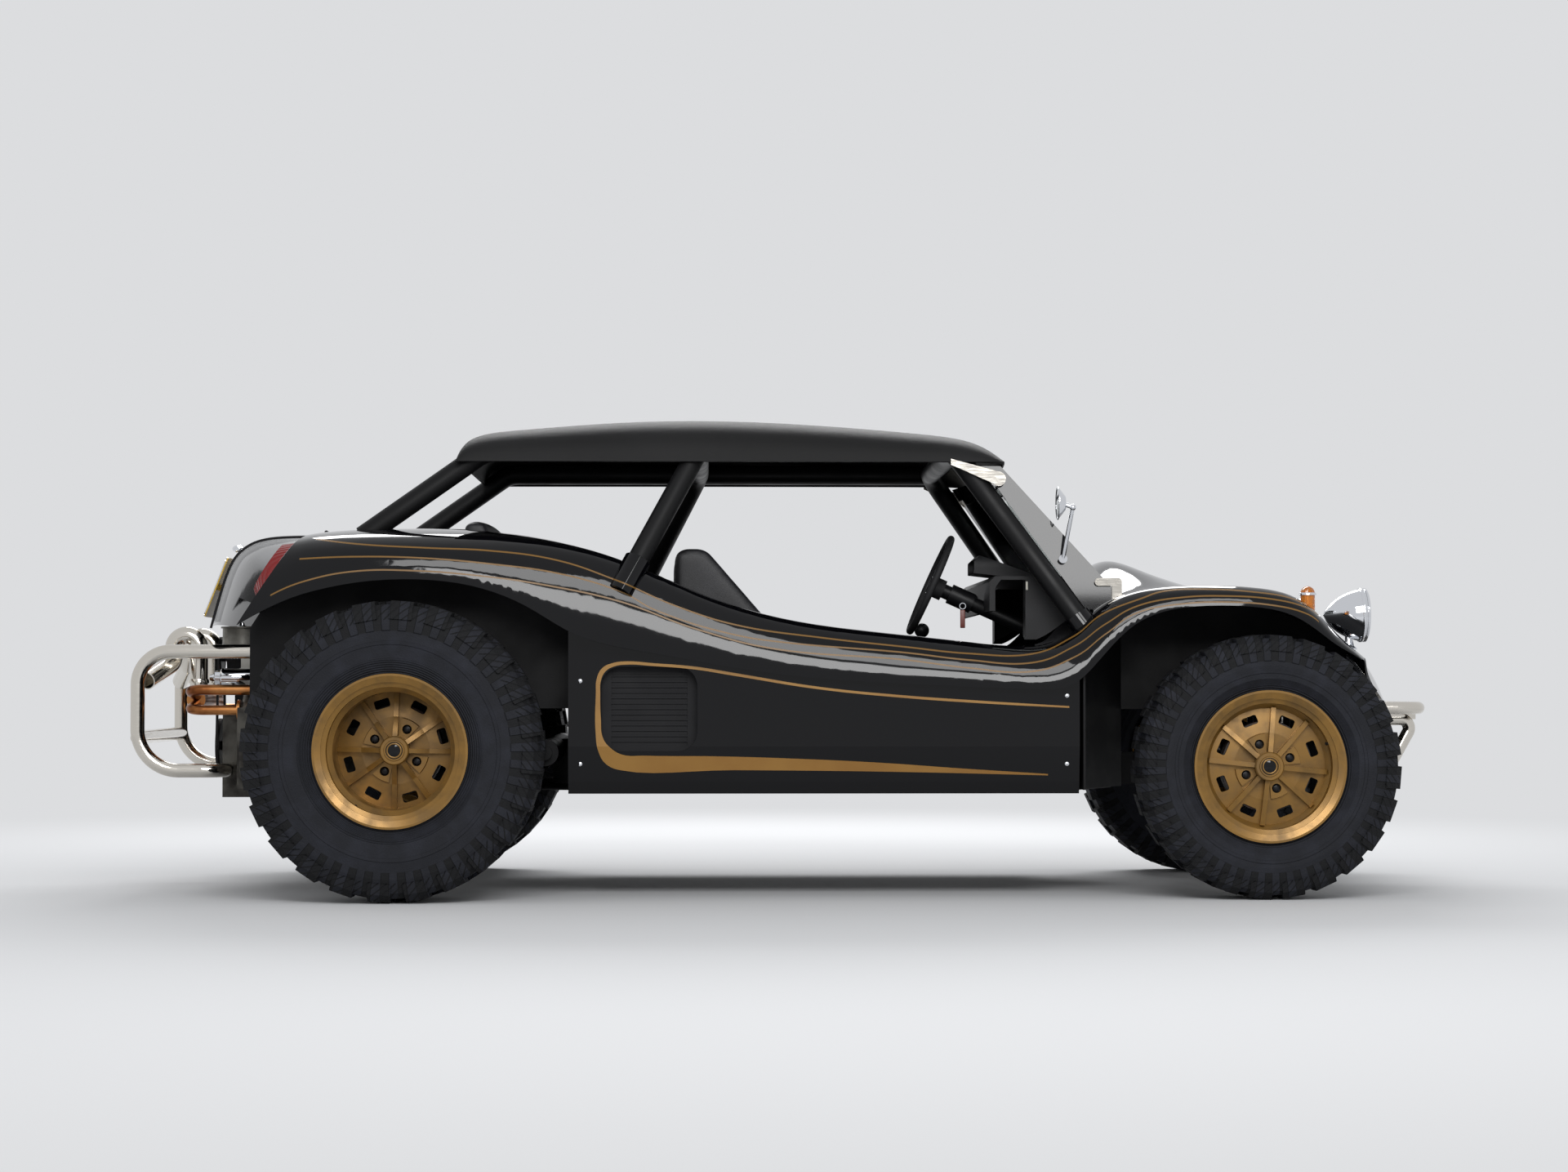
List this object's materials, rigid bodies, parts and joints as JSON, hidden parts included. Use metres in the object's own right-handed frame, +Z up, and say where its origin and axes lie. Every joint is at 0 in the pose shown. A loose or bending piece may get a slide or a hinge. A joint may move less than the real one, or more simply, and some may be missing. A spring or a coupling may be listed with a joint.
{
  "type": "dune buggy",
  "caption": "Four-seat dune buggy with hardtop, roll cage, open rear engine, side boxes, big mud tyres; wheels roll, front wheels steer, tail lid opens.",
  "frame": {"origin": "middle of the car's overall length, on its centreline, on the ground", "axes": "+X forward to the nose, +Y to the car's left, +Z up"},
  "size_m": [3.709, 1.752, 1.3539],
  "materials": {
    "black_gloss": "gloss",
    "black_satin": "satin",
    "chassis_black": "satin",
    "cage_black": "satin",
    "plate": "gloss",
    "glass": "clear",
    "dash_plastic": "matt",
    "wheel_rubber": "matt",
    "seat_fabric": "matt",
    "cast_alloy": "cast",
    "stainless": "polished",
    "bronze": "heat-tinted",
    "lamp_clear": "fluted",
    "chrome": "polished",
    "lamp_amber": "gloss",
    "lamp_red": "gloss",
    "gold": "satin",
    "tyre": "matt",
    "drum_iron": "rough"
  },
  "bodies": {
    "chassis": {"body_shell": "black_gloss", "cockpit_tub": "black_satin", "floorpan": "chassis_black", "side_pod_right": "black_gloss", "side_pod_left": "black_gloss", "vent_grilles": "black_satin", "hardtop": "black_satin", "roll_cage": "cage_black", "windscreen_frame": "black_gloss", "windscreen_glass": "glass", "screen_brackets": "stainless", "dashboard": "dash_plastic", "steering_column": "chassis_black", "front_seat_right": "seat_fabric", "front_seat_left": "seat_fabric", "rear_bench": "seat_fabric", "controls": "chassis_black", "front_beam": "chassis_black", "gearbox": "cast_alloy", "engine": "cast_alloy", "fan_housing": "chassis_black", "carburettor": "cast_alloy", "exhaust": "bronze", "tailpipes": "stainless", "rear_suspension": "chassis_black", "rear_bumper": "stainless", "front_bumper": "stainless", "headlamps": "chrome", "headlamp_lenses": "lamp_clear", "indicators": "lamp_amber", "tail_lamps": "lamp_red", "mirror": "chrome"},
    "steering": {"steering_wheel": "wheel_rubber"},
    "hub_right": {"knuckle_right": "chassis_black"},
    "hub_left": {"knuckle_left": "chassis_black"},
    "track_rod": {"track_rod": "chassis_black"},
    "engine_lid": {"engine_lid": "black_gloss", "number_plate": "plate"},
    "wheel_front_right": {"rim_front_right": "gold", "tyre_front_right": "tyre", "drum_front_right": "drum_iron"},
    "wheel_front_left": {"rim_front_left": "gold", "tyre_front_left": "tyre", "drum_front_left": "drum_iron"},
    "wheel_rear_right": {"rim_rear_right": "gold", "tyre_rear_right": "tyre", "drum_rear_right": "drum_iron"},
    "wheel_rear_left": {"rim_rear_left": "gold", "tyre_rear_left": "tyre", "drum_rear_left": "drum_iron"}
  },
  "joints": [
    {"name": "steer_right", "type": "hinge", "parent": "chassis", "child": "hub_right", "pos_m": [1.3295, -0.607, 0.365], "axis": [0, 0, 1], "range_deg": [-25, 25]},
    {"name": "roll_front_right", "type": "hinge", "parent": "hub_right", "child": "wheel_front_right", "pos_m": [1.3295, -0.65, 0.365], "axis": [0, 1, 0], "continuous": true},
    {"name": "roll_rear_right", "type": "hinge", "parent": "chassis", "child": "wheel_rear_right", "pos_m": [-1.0705, -0.73, 0.41], "axis": [0, 1, 0], "continuous": true},
    {"name": "steer_left", "type": "hinge", "parent": "chassis", "child": "hub_left", "pos_m": [1.3295, 0.607, 0.365], "axis": [0, 0, 1], "range_deg": [-25, 25]},
    {"name": "roll_front_left", "type": "hinge", "parent": "hub_left", "child": "wheel_front_left", "pos_m": [1.3295, 0.65, 0.365], "axis": [0, 1, 0], "continuous": true},
    {"name": "roll_rear_left", "type": "hinge", "parent": "chassis", "child": "wheel_rear_left", "pos_m": [-1.0705, 0.73, 0.41], "axis": [0, 1, 0], "continuous": true},
    {"name": "steering_turn", "type": "hinge", "parent": "chassis", "child": "steering", "pos_m": [0.4245, -0.318, 0.876], "axis": [-0.9135, 0, 0.4067], "range_deg": [-358, 358]},
    {"name": "track_rod_slide", "type": "slide", "parent": "chassis", "child": "track_rod", "axis": [0, 1, 0], "range_m": [-0.0445, 0.0445]},
    {"name": "lid_hinge", "type": "hinge", "parent": "chassis", "child": "engine_lid", "pos_m": [-1.318, 0, 1.03], "axis": [0, 1, 0], "range_deg": [0, 55]}
  ],
  "couplings": [
    {"joint": "steer_right", "follows": "steer_left", "ratio": 1},
    {"joint": "steering_turn", "follows": "steer_left", "ratio": 14},
    {"joint": "track_rod_slide", "follows": "steer_left", "m_per_rad": -0.09686}
  ]
}
